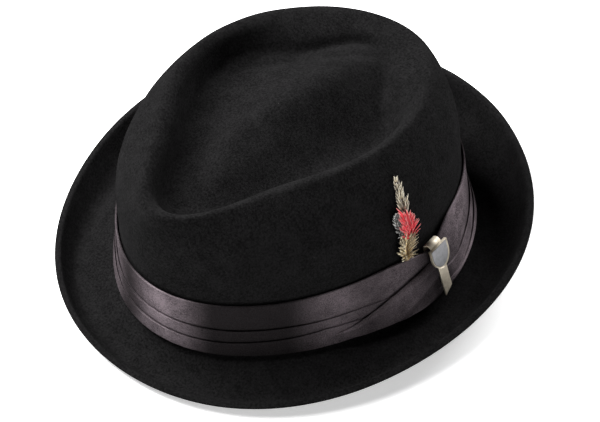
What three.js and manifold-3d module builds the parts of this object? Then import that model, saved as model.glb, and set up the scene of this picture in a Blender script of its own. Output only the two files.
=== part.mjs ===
// A felt hat with a diamond-shaped crown, a short curled brim, a pleated satin band, a metal clip and a small
// spray of feathers. It lies on a table at z = 0, on the flattened front and back of its brim.
// Millimetres, +Z up. The hat's front faces -Y and its wearer's left side faces +X.
import * as THREE from "three";
import { mergeVertices } from "three/addons/utils/BufferGeometryUtils.js";
import Module from "manifold-3d";

const wasm = await Module();
wasm.setup();

// Felt body
const headLength = 206.2; // outside of the felt at the band's foot, front to back
const headWidth = 170.8;
const crownHeight = 98; // band's foot to the ridge at the sides
const feltWall = 2;
const frontLift = 13.6; // band's foot above the table, at the front and at the back
const backLift = 3.5;
const brimFront = 23; // reach of the brim beyond the head
const brimSide = 35.2;
const brimBack = 35.2;
const lipFront = 8; // height of the brim's raw edge above the table
const lipSide = 18.5;
const lipBack = 26;
const brimSetbackInner = 0.06; // how far behind the middle it is widest, in shares of half the head's length
const brimSetbackOuter = 0.1;
const brimPinch = 0.01; // how far the brim's rear quarters are drawn in, and its front ones let out
const aroundSteps = 64;

// Fits
const clearance = 0.4; // between pieces that rest on each other

// Band, with its sash gathered under the clip
const bandHeight = 35;
const plyThickness = 0.6; // one ply of ribbon
const foldThickness = 1.2; // the lowest pleat, a ply folded on itself
const sashThickness = 1.4;
const flareAngle = 87; // degrees round from the front, where the gathers push the band's foot out most
const footFlare = 8.5; // how far they push it off the crown
const flareBefore = 14; // degrees over which the flare falls off, on either side of its angle
const flareAfter = 32;
const footDrop = 2.4; // how far its foot sinks there towards the brim
const topDip = 5.5; // how far the clip draws its top edge down
const dipLead = 2; // degrees by which the dip comes before the clip
const dipBefore = 11;
const dipAfter = 8;
const topFlare = 2.3; // room for the clip's hidden leg behind the band
const topSpread = 9;
const bandSeat = 0.8; // height of the band's foot over the crown's foot line
const pleatStep = 0.012; // share of the band's height over which a pleat's edge steps out
const stripEdge = 0.7; // a strip's thickness at its edges, as a share of its middle's
const tailWidth = 9.5;
const tailHeight = 7.5;
const tailLow = 0.08; // its lower corner by the clip, as a share of the band's height
const tailLead = 2.5; // degrees by which its end comes before the clip

// Clip
const clipAngle = 94.5; // degrees round from the front, over the wearer's left side
const clipMetal = 0.9;
const hookWidth = 8.6;
const hookLeg = 5; // hidden leg behind the band
const hookRoom = 1.1; // how far the hook bends above the band's top edge, which slopes there
const legClearance = 0.7; // behind the band, which bows there
const strapWidth = 6.4;
const strapLength = 27.5; // below the hook
const strapSlant = 3;
const shieldWidth = 14;
const shieldHeight = 15;
const shieldThickness = 2.2;
const shieldRim = 1.3;
const shieldDrop = 1; // its top below the top of the hook's legs
const pointInset = 1.3; // how much more the rim takes at the shield's point
const inlayThickness = 0.5;
const inlaySink = 0.1; // its face below the rim

// Feathers
const featherAngle = 81.5; // where the spray leaves the band
const featherLean = 5.5; // sideways from foot to tip, towards the back
const featherThickness = 0.9;
const edgeThickness = 0.5;
const barbSlope = 0.8; // how far a strip of barbs rises for its half width
const notch = 0.72; // width left between two strips of barbs, as a share of theirs
const notchRise = 0.25; // how far above its strip the notch lies, as a share of the strips' spacing
const leafSkew = 0.8; // below one, a feather is widest in its lower half
const quillWidth = 0.2; // width at the foot and at the tip, as shares of a feather's widest
const tipWidth = 0.05;

const halfLength = headLength / 2;
const halfWidth = headWidth / 2;
const radians = THREE.MathUtils.degToRad;

// Sections of the brim's upper side, from the raw edge inwards. out is a share of the brim's reach. front,
// side and back are heights as shares of the raw edge's height there. steps counts the facets up to the
// next section.
const brimSections = [
  { name: "edge", out: 1.0, front: 1.0, side: 1.0, back: 1.0, steps: 1 },
  { name: "lip", out: 0.965, front: 0.49, side: 0.75, back: 0.845, steps: 1 },
  { name: "turn", out: 0.84, front: 0.2, side: 0.46, back: 0.6, steps: 2 },
  { name: "low", out: 0.62, front: 0.27, side: 0.25, back: 0.31, steps: 2 },
  { name: "pan", out: 0.34, front: 0.78, side: 0.21, back: 0.12, steps: 2 },
];

// Sections of the crown's outer side, from the brim up over the ridge and down into the dish. front, back
// and setback (how far behind the middle a section is widest) are shares of half the head's length, side of
// half its width. Pinches draw the quarters in, towards a diamond. The rises are shares of the crown's
// height.
const crownSections = [
  {
    name: "break", front: 1.021, side: 1.035, back: 1.028, setback: 0.057, pinchFront: 0.01, pinchBack: -0.02,
    riseFront: -0.025, riseSide: -0.024, riseBack: -0.024, steps: 1,
  },
  {
    name: "foot", front: 1.0, side: 1.0, back: 1.0, setback: 0.055, pinchFront: 0.01, pinchBack: -0.02,
    riseFront: 0.012, riseSide: 0.012, riseBack: 0.012, steps: 3,
  },
  {
    name: "hem", front: 1.007, side: 0.95, back: 0.981, setback: 0.055, pinchFront: 0.01, pinchBack: -0.01,
    riseFront: 0.353, riseSide: 0.353, riseBack: 0.368, steps: 3,
  },
  {
    name: "waist", front: 0.992, side: 0.93, back: 0.958, setback: 0.08, pinchFront: 0.005, pinchBack: 0.005,
    riseFront: 0.666, riseSide: 0.715, riseBack: 0.713, steps: 2,
  },
  {
    name: "shoulder", front: 0.998, side: 0.76, back: 0.93, setback: 0.08, pinchFront: 0.06, pinchBack: 0.0,
    riseFront: 0.82, riseSide: 0.945, riseBack: 0.865, steps: 1,
  },
  {
    name: "ridge", front: 0.975, side: 0.708, back: 0.897, setback: 0.078, pinchFront: 0.082, pinchBack: 0.01,
    riseFront: 0.868, riseSide: 0.99, riseBack: 0.905, steps: 1,
  },
  {
    name: "brow", front: 0.91, side: 0.638, back: 0.83, setback: 0.078, pinchFront: 0.09, pinchBack: 0.01,
    riseFront: 0.84, riseSide: 0.967, riseBack: 0.893, steps: 1,
  },
  {
    name: "wall", front: 0.84, side: 0.568, back: 0.762, setback: 0.075, pinchFront: 0.095, pinchBack: 0.02,
    riseFront: 0.752, riseSide: 0.89, riseBack: 0.862, steps: 1,
  },
  {
    name: "groove", front: 0.765, side: 0.49, back: 0.705, setback: 0.068, pinchFront: 0.09, pinchBack: 0.03,
    riseFront: 0.702, riseSide: 0.84, riseBack: 0.852, steps: 2,
  },
  {
    name: "floor", front: 0.64, side: 0.355, back: 0.58, setback: 0.055, pinchFront: 0.07, pinchBack: 0.03,
    riseFront: 0.712, riseSide: 0.83, riseBack: 0.86, steps: 2,
  },
  {
    name: "mound", front: 0.5, side: 0.175, back: 0.426, setback: 0.03, pinchFront: 0.02, pinchBack: 0.01,
    riseFront: 0.782, riseSide: 0.86, riseBack: 0.877, steps: 2,
  },
  {
    name: "knoll", front: 0.25, side: 0.08, back: 0.21, setback: 0.01, pinchFront: 0, pinchBack: 0,
    riseFront: 0.832, riseSide: 0.872, riseBack: 0.882, steps: 1,
  },
  {
    name: "apex", front: 0, side: 0, back: 0, setback: 0, pinchFront: 0, pinchBack: 0,
    riseFront: 0.876, riseSide: 0.876, riseBack: 0.876, steps: 0,
  },
];

// Dents in the crown's dish. across is a share of half the head's width and along of half its length, from
// the middle; radius is a share of half the width and depth of the crown's height.
const dents = [
  { name: "left rear dish", across: 0.4, along: 0.26, radius: 0.22, depth: 0.045 },
];

// Pleats of the band, from its foot up: the lower and upper edge as shares of its height, and how many plies
// beyond the lowest pleat each stands out at its lower and upper edge.
const pleats = [
  { name: "lower pleat", low: 0, high: 0.275, proudLow: 0, proudHigh: -0.5 },
  { name: "middle pleat", low: 0.275, high: 0.51, proudLow: 0.5, proudHigh: 0 },
  { name: "upper pleat", low: 0.51, high: 1, proudLow: 1, proudHigh: -0.5 },
];

// Stations of the sash from its tuck to the clip. angle is in degrees before the clip, low and high are
// shares of the band's height, and full is a share of the sash's thickness.
const sashStations = [
  { angle: 35, low: 0.1, high: 0.17, full: 0.5 },
  { angle: 31, low: 0.06, high: 0.26, full: 0.9 },
  { angle: 25, low: 0.05, high: 0.42, full: 1 },
  { angle: 18, low: 0.07, high: 0.6, full: 1 },
  { angle: 11, low: 0.22, high: 0.76, full: 1 },
  { angle: 4, low: 0.34, high: 0.86, full: 1.1 },
  { angle: -2, low: 0.36, high: 0.9, full: 1.1 },
  { angle: -7, low: 0.4, high: 0.88, full: 0.9 },
];

// Feathers of the spray. across and up place the foot and reach gives the length, as shares of bandHeight
// from the spray's own foot; half is the half width as a share of the length; layer counts feathers out
// from the felt.
const feathers = [
  {
    name: "speckled", across: 0, up: 0, reach: 1.32, lean: 1, half: 0.105, barbs: 10, layer: 0,
    color: 0xc9bb9a,
  },
  {
    name: "white", across: -0.07, up: 0.33, reach: 0.56, lean: -0.5, half: 0.2, barbs: 5, layer: 1,
    color: 0xd8d4cc,
  },
  {
    name: "gold", across: 0.07, up: 0, reach: 0.56, lean: 0.1, half: 0.3, barbs: 6, layer: 2,
    color: 0xb8975a,
  },
  {
    name: "red", across: 0.1, up: 0.3, reach: 0.66, lean: -1.2, half: 0.2, barbs: 7, layer: 3,
    color: 0xc01f2e,
  },
];

// Height of the band's foot above the table, which tips back a little as the hat rests.
function baseHeight(y) {
  return THREE.MathUtils.mapLinear(y, -halfLength, halfLength, frontLift, backLift);
}

// A section's point at an angle round from the front, over the wearer's left side.
function sectionPoint(row, theta) {
  const c = Math.cos(theta);
  const s = Math.sin(theta);
  const pinch = (row.pinchFront * (1 + c) + row.pinchBack * (1 - c)) / 2;
  const pull = 1 - 2 * pinch * Math.sin(2 * theta) ** 2;
  const x = row.side * pull * s;
  const y = (-pull * c * (row.front + row.back) + c * c * (row.back - row.front)) / 2 + row.setback * s * s;
  const tip = (row.zFront - row.zBack) / 2;
  const bow = (row.zFront + row.zBack) / 2 - row.zSide;
  const z = row.zSide + tip * c + bow * c * c + (row.onBase ? baseHeight(y) : 0);
  return new THREE.Vector3(x, y, z);
}

function crownRow(row) {
  return {
    ...row,
    front: row.front * halfLength, side: row.side * halfWidth, back: row.back * halfLength,
    setback: row.setback * halfLength,
    zFront: row.riseFront * crownHeight, zSide: row.riseSide * crownHeight, zBack: row.riseBack * crownHeight,
    onBase: true,
  };
}

// A brim row starts from the head's outline at the foot and reaches out from it.
function brimRow(row) {
  const setback = THREE.MathUtils.lerp(brimSetbackInner, brimSetbackOuter, row.out);
  return {
    ...row,
    front: halfLength + row.out * brimFront,
    side: halfWidth + row.out * brimSide,
    back: halfLength + row.out * brimBack,
    setback: setback * halfLength, pinchFront: -brimPinch, pinchBack: brimPinch,
    zFront: row.front * lipFront, zSide: row.side * lipSide, zBack: row.back * lipBack,
    onBase: false,
  };
}

const sections = [...brimSections.map(brimRow), ...crownSections.map(crownRow)];
const footIndex = sections.findIndex((row) => row.name === "foot");
const shoulderIndex = sections.findIndex((row) => row.name === "shoulder");

function dented(point) {
  for (const dent of dents) {
    const dx = (point.x - dent.across * halfWidth) / (dent.radius * halfWidth);
    const dy = (point.y - dent.along * halfLength) / (dent.radius * halfWidth);
    point.z -= dent.depth * crownHeight * Math.exp(-dx * dx - dy * dy);
  }
  return point;
}

// The felt's outer profile at one angle, as a smooth curve through its sections.
function profileCurve(theta) {
  return new THREE.CatmullRomCurve3(sections.map((row) => sectionPoint(row, theta)), false, "centripetal");
}

// A point of the profile. level counts sections from the raw edge.
function profilePoint(curve, level) {
  return curve.getPoint(level / (sections.length - 1));
}

const profileLevels = sections.flatMap((row, index) =>
  Array.from({ length: Math.max(row.steps, 1) }, (_, step) => index + step / Math.max(row.steps, 1)),
);
const angles = Array.from({ length: aroundSteps }, (_, index) => (index * Math.PI * 2) / aroundSteps);

// A BufferGeometry from a list of points and a list of corner triples.
function geometryFrom(points, corners) {
  const geometry = new THREE.BufferGeometry();
  const coordinates = points.flatMap((p) => [p.x, p.y, p.z]);
  geometry.setAttribute("position", new THREE.Float32BufferAttribute(coordinates, 3));
  geometry.setIndex(corners.flat());
  geometry.computeVertexNormals();
  return geometry;
}

// The felt: crown and brim as one shell, its underside a wall's thickness along the normals and flattened
// where it meets the table.
function feltGeometry() {
  const outer = angles.map((theta) => {
    const curve = profileCurve(theta);
    return profileLevels.map((level) => dented(profilePoint(curve, level)));
  });
  const last = profileLevels.length - 1;
  const normalAt = (i, j) => {
    const along = outer[i][Math.min(j + 1, last)].clone().sub(outer[i][Math.max(j - 1, 0)]);
    const next = outer[(i + 1) % aroundSteps][j];
    const previous = outer[(i + aroundSteps - 1) % aroundSteps][j];
    return next.clone().sub(previous).cross(along).normalize();
  };
  const inner = outer.map((column, i) =>
    column.map((point, j) => {
      const normal = j === last ? new THREE.Vector3(0, 0, 1) : normalAt(i, j);
      const offset = point.clone().addScaledVector(normal, -feltWall);
      offset.z = Math.max(offset.z, 0);
      return offset;
    }),
  );
  const points = [...outer.flat(), ...inner.flat()];
  const outerAt = (i, j) => (j === last ? last : (i % aroundSteps) * (last + 1) + j);
  const innerAt = (i, j) => outerAt(i, j) + aroundSteps * (last + 1);
  const corners = [];
  const quad = (a, b, c, d) => {
    if (a !== b) corners.push([a, b, c]);
    if (c !== d) corners.push([a, c, d]);
  };
  for (let i = 0; i < aroundSteps; i += 1) {
    for (let j = 0; j < last; j += 1) {
      quad(outerAt(i, j), outerAt(i + 1, j), outerAt(i + 1, j + 1), outerAt(i, j + 1));
      quad(innerAt(i, j), innerAt(i, j + 1), innerAt(i + 1, j + 1), innerAt(i + 1, j));
    }
    quad(outerAt(i, 0), innerAt(i, 0), innerAt(i + 1, 0), outerAt(i + 1, 0));
  }
  return geometryFrom(points, corners);
}

// A bell that falls off over one angle before its centre and another after it, in degrees.
function bell(degrees, centre, before, after) {
  const away = (degrees - centre) / (degrees < centre ? before : after);
  return Math.exp(-away * away);
}

const searchTolerance = 1e-6;

// A place on the crown's wall: the felt's own surface point at an angle and a height above the band's foot,
// moved off it along the wall's outward normal.
function wallPlace(theta, height, off) {
  const curve = profileCurve(theta);
  const heightAt = (level) => {
    const point = profilePoint(curve, level);
    return point.z - baseHeight(point.y);
  };
  let low = footIndex - 1;
  let high = shoulderIndex;
  while (high - low > searchTolerance) {
    const middle = (low + high) / 2;
    if (heightAt(middle) < height) low = middle;
    else high = middle;
  }
  const step = 0.02;
  const point = profilePoint(curve, low);
  const up = profilePoint(curve, low + step).sub(point);
  const behind = profilePoint(profileCurve(theta - step), low);
  const round = profilePoint(profileCurve(theta + step), low).sub(behind);
  return point.addScaledVector(round.cross(up).normalize(), off);
}

// Height of the band's top edge over the crown's foot line, drawn down just before the clip.
function bandTop(degrees) {
  return bandSeat + bandHeight - topDip * bell(degrees, clipAngle - dipLead, dipBefore, dipAfter);
}

// A place on or over the band. off is measured from the band's inner side, which stands off the felt by the
// clearance, the gathers' flare at the foot and the room for the clip's leg at the top.
function bandPlace(theta, share, off) {
  const degrees = THREE.MathUtils.radToDeg(theta);
  const gathers = bell(degrees, flareAngle, flareBefore, flareAfter) * (1 - share);
  const room = bell(degrees, clipAngle, topSpread, topSpread) * share;
  const gap = clearance + footFlare * gathers + topFlare * room;
  const level = bandSeat + share * (bandTop(degrees) - bandSeat) - footDrop * gathers;
  const wall = wallPlace(theta, Math.max(level, 0), gap + off);
  wall.z += Math.min(level, 0);
  return wall;
}

const proudest = foldThickness + plyThickness;

// The band's section as [share of height, distance from its inner side], once round.
function bandOutline() {
  const inside = [...pleats].reverse().map((pleat) => [pleat.high, 0]);
  const outside = pleats.flatMap((pleat) => [
    [pleat.low + pleatStep, foldThickness + plyThickness * pleat.proudLow],
    [pleat.high, foldThickness + plyThickness * pleat.proudHigh],
  ]);
  return [...inside, [0, 0], ...outside];
}

// Sweeps a closed outline of points through stations. A ring closes on itself, a strip gets its two ends.
function sweep(stations, closed) {
  const around = stations[0].length;
  const corners = [];
  const spans = closed ? stations.length : stations.length - 1;
  for (let i = 0; i < spans; i += 1) {
    for (let j = 0; j < around; j += 1) {
      const a = i * around + j;
      const b = i * around + ((j + 1) % around);
      const c = ((i + 1) % stations.length) * around + ((j + 1) % around);
      const d = ((i + 1) % stations.length) * around + j;
      corners.push([a, c, b], [a, d, c]);
    }
  }
  if (!closed) {
    const end = (stations.length - 1) * around;
    for (let j = 1; j < around - 1; j += 1) corners.push([0, j, j + 1], [end, end + j + 1, end + j]);
  }
  return geometryFrom(stations.flat(), corners);
}

function bandGeometry() {
  const outline = bandOutline();
  return sweep(angles.map((theta) => outline.map(([share, off]) => bandPlace(theta, share, off))), true);
}

// A strip of ribbon lying on the band, between a low and a high share of its height at each station.
function stripOnBand(stations, rest) {
  return sweep(
    stations.map(({ theta, low, high, thickness }) => {
      const middle = (low + high) / 2;
      return [
        bandPlace(theta, high, rest),
        bandPlace(theta, middle, rest),
        bandPlace(theta, low, rest),
        bandPlace(theta, low, rest + thickness * stripEdge),
        bandPlace(theta, middle, rest + thickness),
        bandPlace(theta, high, rest + thickness * stripEdge),
      ];
    }),
    false,
  );
}

const overBand = proudest + clearance;
const sashFullest = sashThickness * Math.max(...sashStations.map((row) => row.full));

function sashGeometry() {
  const stations = sashStations.map((row) => ({
    theta: radians(clipAngle - row.angle),
    low: row.low,
    high: row.high,
    thickness: row.full * sashThickness,
  }));
  return stripOnBand(stations, overBand);
}

// The squared end of the ribbon, below the sash and just before the clip.
function tailGeometry() {
  const end = radians(clipAngle - tailLead);
  const high = tailHeight / bandHeight;
  const lean = high / 2;
  const stations = [0, 0.5, 1].map((share) => ({
    theta: end - ((1 - share) * tailWidth) / halfLength,
    low: tailLow - lean * (1 - share),
    high: tailLow + high - lean * (1 - share),
    thickness: foldThickness,
  }));
  return stripOnBand(stations, overBand);
}

const weldTolerance = 1e-4;

// Solids that are cut and joined
function solidOf(geometry) {
  const bare = geometry.index ? geometry.toNonIndexed() : geometry.clone();
  bare.deleteAttribute("normal");
  bare.deleteAttribute("uv");
  const merged = mergeVertices(bare, weldTolerance);
  const vertProperties = new Float32Array(merged.attributes.position.array);
  const triVerts = new Uint32Array(merged.index.array);
  return new wasm.Manifold(new wasm.Mesh({ numProp: 3, vertProperties, triVerts }));
}

function geometryOf(solid) {
  const mesh = solid.getMesh();
  const geometry = new THREE.BufferGeometry();
  geometry.setAttribute("position", new THREE.BufferAttribute(new Float32Array(mesh.vertProperties), 3));
  geometry.setIndex(new THREE.BufferAttribute(new Uint32Array(mesh.triVerts), 1));
  geometry.computeVertexNormals();
  return geometry;
}

// A flat plate from an outline, between two levels along Z.
function plate(outline, low, high) {
  const shape = new THREE.Shape(outline.map(([x, y]) => new THREE.Vector2(x, y)));
  const geometry = new THREE.ExtrudeGeometry(shape, { depth: high - low, bevelEnabled: false });
  return geometry.translate(0, 0, low);
}

// The clip in its own frame: X along the band, Y up, Z outwards from the sash that it grips
const gripDepth = overBand + sashFullest + clearance + legClearance;
const inlaySeat = shieldThickness - inlaySink - inlayThickness;

// How the shield's side rounds in to its point: out is a share of its half width, down of its height.
const shieldCurve = [
  { name: "start of the curve", out: 1, down: 0.35 },
  { name: "first handle", out: 1, down: 0.75 },
  { name: "second handle", out: 0.5, down: 0.94 },
  { name: "point", out: 0, down: 1 },
];

// The shield's outline, a flat top and sides that round in to a point, drawn in by an inset.
function shieldOutline(inset) {
  const half = shieldWidth / 2 - inset;
  const top = -shieldDrop - inset;
  const bottom = -shieldDrop - shieldHeight + inset * pointInset;
  const place = (row) => new THREE.Vector2(half * row.out, top + (bottom - top) * row.down);
  const handles = shieldCurve.map(place);
  const right = new THREE.CubicBezierCurve(...handles).getPoints(6).map((p) => [p.x, p.y]);
  const left = right.slice(0, -1).reverse().map(([x, y]) => [-x, y]);
  return [[half, top], ...right, ...left, [-half, top]].reverse();
}

function clipGeometry() {
  const hook = new THREE.Shape();
  const inner = gripDepth / 2;
  const outer = inner + clipMetal;
  hook.moveTo(outer, -shieldHeight / 2);
  hook.lineTo(outer, 0);
  hook.absarc(0, 0, outer, 0, Math.PI, false);
  hook.lineTo(-outer, -hookLeg);
  hook.lineTo(-inner, -hookLeg);
  hook.lineTo(-inner, 0);
  hook.absarc(0, 0, inner, Math.PI, 0, true);
  hook.lineTo(inner, -shieldHeight / 2);
  const bent = new THREE.ExtrudeGeometry(hook, { depth: hookWidth, bevelEnabled: false, curveSegments: 8 });
  bent.translate(-inner, 0, -hookWidth / 2).rotateY(-Math.PI / 2);
  const strap = plate(
    [
      [-strapWidth / 2, -shieldDrop - shieldHeight / 2],
      [-strapWidth / 2, -strapLength],
      [strapWidth / 2, strapSlant - strapLength],
      [strapWidth / 2, -shieldDrop - shieldHeight / 2],
    ],
    0,
    clipMetal,
  );
  const shield = solidOf(plate(shieldOutline(0), clipMetal / 2, shieldThickness));
  const recessFloor = inlaySeat - clearance;
  const recess = solidOf(plate(shieldOutline(shieldRim), recessFloor, shieldThickness * 2));
  return geometryOf(solidOf(bent).add(solidOf(strap)).add(shield.subtract(recess)));
}

function inlayGeometry() {
  return plate(shieldOutline(shieldRim + clearance), inlaySeat, inlaySeat + inlayThickness);
}

// The clip's frame rests on the sash at its angle, leaning out with the flare of the band.
function clipFrame() {
  const theta = radians(clipAngle);
  const halfTurn = hookWidth / 2 / halfWidth;
  const rest = overBand + sashFullest + clearance;
  const high = bandPlace(theta, 1, rest);
  const low = bandPlace(theta, Math.max(1 - strapLength / bandHeight, 0), rest);
  const up = high.clone().sub(low).normalize();
  const ahead = bandPlace(theta + halfTurn, 1, rest);
  const across = ahead.sub(bandPlace(theta - halfTurn, 1, rest)).normalize();
  const out = across.clone().cross(up).normalize();
  across.copy(up).cross(out).normalize();
  const group = new THREE.Group();
  group.matrix.makeBasis(across, up, out).setPosition(high.addScaledVector(up, hookRoom));
  group.matrix.decompose(group.position, group.quaternion, group.scale);
  return group;
}

// Half the width of a feather at a share of its length, as a share of its widest half.
function leaf(share) {
  return Math.sin(Math.PI * Math.pow(share, leafSkew));
}

// A feather on the crown's wall, its strips of barbs fused along the quill: each strip is wide at its tip and
// narrow at the notch above it, and its edges rise above its middle.
function featherGeometry(row) {
  const length = row.reach * bandHeight;
  const widest = row.half * length;
  const low = clearance + row.layer * (featherThickness + clearance);
  const foot = bandTop(featherAngle) + clearance + row.up * bandHeight;
  const place = (x, height, off) => {
    const lean = (featherLean * row.lean * height) / length;
    const across = row.across * bandHeight + lean + x;
    return wallPlace(radians(featherAngle) + across / halfLength, foot + height, off);
  };
  const station = (share, width) => {
    const half = widest * width;
    const height = length * share;
    const edge = height + Math.min(half * barbSlope, (length - height) / 2);
    return [
      place(-half, edge, low), place(0, height, low), place(half, edge, low),
      place(half, edge, low + edgeThickness), place(0, height, low + featherThickness),
      place(-half, edge, low + edgeThickness),
    ];
  };
  const stations = [station(0, quillWidth)];
  const spacing = 1 / (row.barbs + 1);
  for (let barb = 1; barb <= row.barbs; barb += 1) {
    const share = barb * spacing;
    stations.push(station(share, leaf(share)), station(share + spacing * notchRise, leaf(share) * notch));
  }
  stations.push(station(1, tipWidth));
  return sweep(stations, false);
}

// Finishes
const felt = { color: 0x0c0c0d, roughness: 0.95, metalness: 0 };
const satin = { color: 0x4b454a, roughness: 0.4, metalness: 0 };
const nickel = { color: 0xd9d2bf, roughness: 0.28, metalness: 1 };
const pewter = { color: 0x9a9a9e, roughness: 0.4, metalness: 1 };

function piece(name, geometry, finish) {
  const mesh = new THREE.Mesh(geometry, new THREE.MeshStandardMaterial(finish));
  mesh.name = name;
  return mesh;
}

const hat = new THREE.Group();
hat.add(piece("felt_body", feltGeometry(), felt));
hat.add(piece("band", bandGeometry(), satin));
hat.add(piece("band_sash", sashGeometry(), satin));
hat.add(piece("band_tail", tailGeometry(), satin));

const clip = clipFrame();
clip.add(piece("clip", clipGeometry(), nickel));
clip.add(piece("clip_inlay", inlayGeometry(), pewter));
hat.add(clip);

for (const row of feathers) {
  const finish = { color: row.color, roughness: 0.7, metalness: 0 };
  hat.add(piece(`feather_${row.name}`, featherGeometry(row), finish));
}

// The origin lies on the table, under the middle of the hat's overall length and width.
const middle = new THREE.Box3().setFromObject(hat).getCenter(new THREE.Vector3());
hat.position.set(-middle.x, -middle.y, 0);

export default hat;
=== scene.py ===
# A black felt hat with a diamond-shaped crown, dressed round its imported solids: felt, pleated satin band
# with its gathered sash, metal clip and a spray of four feathers, on a pale floor under soft studio light.
# Metres, +Z up. The hat's front faces -Y and its wearer's left side faces +X.
import math
import random
from functools import lru_cache

import bmesh
import bpy
from mathutils import Matrix, Vector, noise


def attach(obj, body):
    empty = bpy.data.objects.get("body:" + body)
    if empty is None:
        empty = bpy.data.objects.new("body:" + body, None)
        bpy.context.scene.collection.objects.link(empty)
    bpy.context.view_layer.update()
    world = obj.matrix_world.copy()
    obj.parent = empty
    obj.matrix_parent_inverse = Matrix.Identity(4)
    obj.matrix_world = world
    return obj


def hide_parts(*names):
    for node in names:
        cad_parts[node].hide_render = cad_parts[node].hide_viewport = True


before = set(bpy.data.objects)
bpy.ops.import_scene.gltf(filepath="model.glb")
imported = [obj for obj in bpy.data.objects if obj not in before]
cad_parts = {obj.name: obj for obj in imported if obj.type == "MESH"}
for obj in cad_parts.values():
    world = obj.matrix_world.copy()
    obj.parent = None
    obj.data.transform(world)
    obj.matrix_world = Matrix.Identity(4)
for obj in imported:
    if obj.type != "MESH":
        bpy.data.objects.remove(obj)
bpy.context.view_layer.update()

MM = 0.001
PHOTO_WIDTH = 600

# Felt body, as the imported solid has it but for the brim's reach and ease and the crown's lean
HEAD_LENGTH = 206.2 * MM
HEAD_WIDTH = 170.8 * MM
CROWN_HEIGHT = 98 * MM
FELT_WALL = 2 * MM
FRONT_LIFT = 13.6 * MM
BACK_LIFT = 3.5 * MM
BRIM_FRONT = 26.3 * MM
BRIM_SIDE = 36.4 * MM
BRIM_BACK = 37 * MM
LIP_FRONT = 8 * MM
LIP_SIDE = 18.5 * MM
LIP_BACK = 26 * MM
BRIM_SETBACK_INNER = 0.06
BRIM_SETBACK_OUTER = 0.1
BRIM_PINCH = 0.01
BRIM_EASE = 1.7 * MM  # how far its right front and left rear quarters are eased out of true
EASE_ANGLE = 65
CROWN_SHIFT = -1.2 * MM  # how far the crown's top leans to the wearer's right
RIPPLE = 0.5 * MM  # how uneven the felt is by hand
RIPPLE_SIZE = 28 * MM
RIPPLE_FADE = 30 * MM  # height over the table below which the felt lies true
HEAD_MIDDLE = Vector((0, -6.075 * MM, 0))  # the middle of the head, seen from the origin
HALF_LENGTH = HEAD_LENGTH / 2
HALF_WIDTH = HEAD_WIDTH / 2

# Band
CLEARANCE = 0.4 * MM
BAND_HEIGHT = 35 * MM
PLY = 0.6 * MM
LOWEST_PLEAT = 1.2 * MM
FLARE_ANGLE = 87
FOOT_FLARE = 8.5 * MM
FLARE_BEFORE = 14
FLARE_AFTER = 32
FOOT_DROP = 2.4 * MM
TOP_DIP = 5.5 * MM
DIP_LEAD = 2
DIP_BEFORE = 11
DIP_AFTER = 8
TOP_FLARE = 2.3 * MM
TOP_SPREAD = 9
BAND_SEAT = 0.8 * MM
OVER_BAND = LOWEST_PLEAT + PLY + CLEARANCE
SASH_DEPTH = 2.2 * MM
SASH_UNDER_CLIP = 1.1 * 1.4 * MM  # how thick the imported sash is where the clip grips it
TUCK_ANGLE = 57.25
TUCK_SHARE = 0.16
FOLD_STEP = 0.95 * MM  # how much further out each fold of the band stands than the one over it

# Clip
CLIP_ANGLE = 94.5
CLIP_METAL = 0.9 * MM
HOOK_WIDTH = 8.6 * MM
HOOK_LEG = 5 * MM
HOOK_ROOM = 1.1 * MM
HOOK_STEPS = 20
LEG_CLEARANCE = 0.7 * MM
STRAP_WIDTH = 6.4 * MM
STRAP_LENGTH = 30.3 * MM
STRAP_SLANT = 3 * MM
SHIELD_WIDTH = 14 * MM
SHIELD_HEIGHT = 14.2 * MM
SHIELD_DEPTH = 2.2 * MM
SHIELD_DROP = -0.9 * MM
SHIELD_RIM = 0.65 * MM
SHIELD_RECESS = 0.9 * MM
CLIP_REST = OVER_BAND + SASH_UNDER_CLIP + CLEARANCE

# Feathers
SPRAY_ANGLE = 81.5

# Sections of the brim's upper side, from the raw edge inwards, as shares of its reach and of its lip's height
BRIM_SECTIONS = [
    dict(name="edge", out=1.0, front=0.6, side=0.95, back=0.96),
    dict(name="crest", out=0.905, front=0.8, side=1.0, back=1.0),
    dict(name="lip", out=0.855, front=0.66, side=0.8, back=0.85),
    dict(name="turn", out=0.8, front=0.46, side=0.5, back=0.56),
    dict(name="low", out=0.665, front=0.27, side=0.11, back=0.3),
    dict(name="pan", out=0.36, front=0.62, side=0.24, back=0.13),
]

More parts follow.
